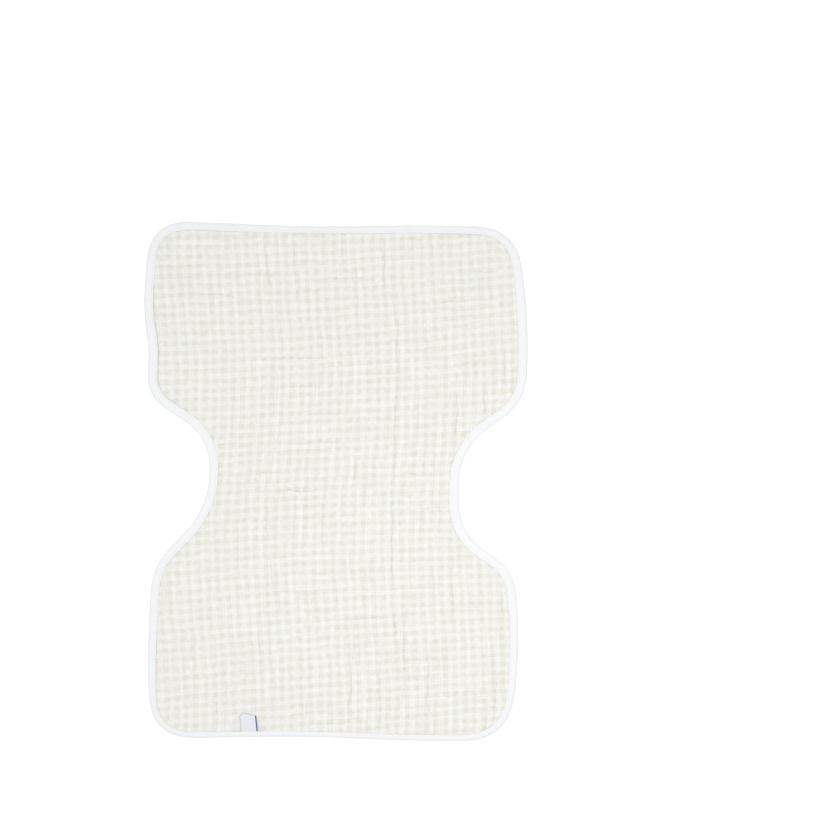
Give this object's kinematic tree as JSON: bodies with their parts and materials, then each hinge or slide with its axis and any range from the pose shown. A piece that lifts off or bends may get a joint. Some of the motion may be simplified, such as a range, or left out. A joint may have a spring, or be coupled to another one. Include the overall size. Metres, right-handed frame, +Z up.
{
  "type": "contour burp cloth",
  "caption": "Hourglass burp cloth of crinkled check muslin with a taped edge and a small bare label, lying flat. Its waist is cut out on both sides to sit round a neck.",
  "frame": {"origin": "on the surface that the cloth lies on, under the middle of its box", "axes": "+Y along the cloth, away from the end with the label; +X across it; +Z up out of the face that the label is on"},
  "size_m": [0.319, 0.432, 0.0039],
  "materials": {
    "muslin": "crinkled cotton muslin, off-white with a pale cream check",
    "binding": "plain white cotton tape",
    "label": "smooth woven ribbon, pale grey with a blue edge"
  },
  "bodies": {
    "root": {"muslin_panel": "muslin", "edge_binding": "binding", "sewn_label": "label"}
  },
  "joints": []
}
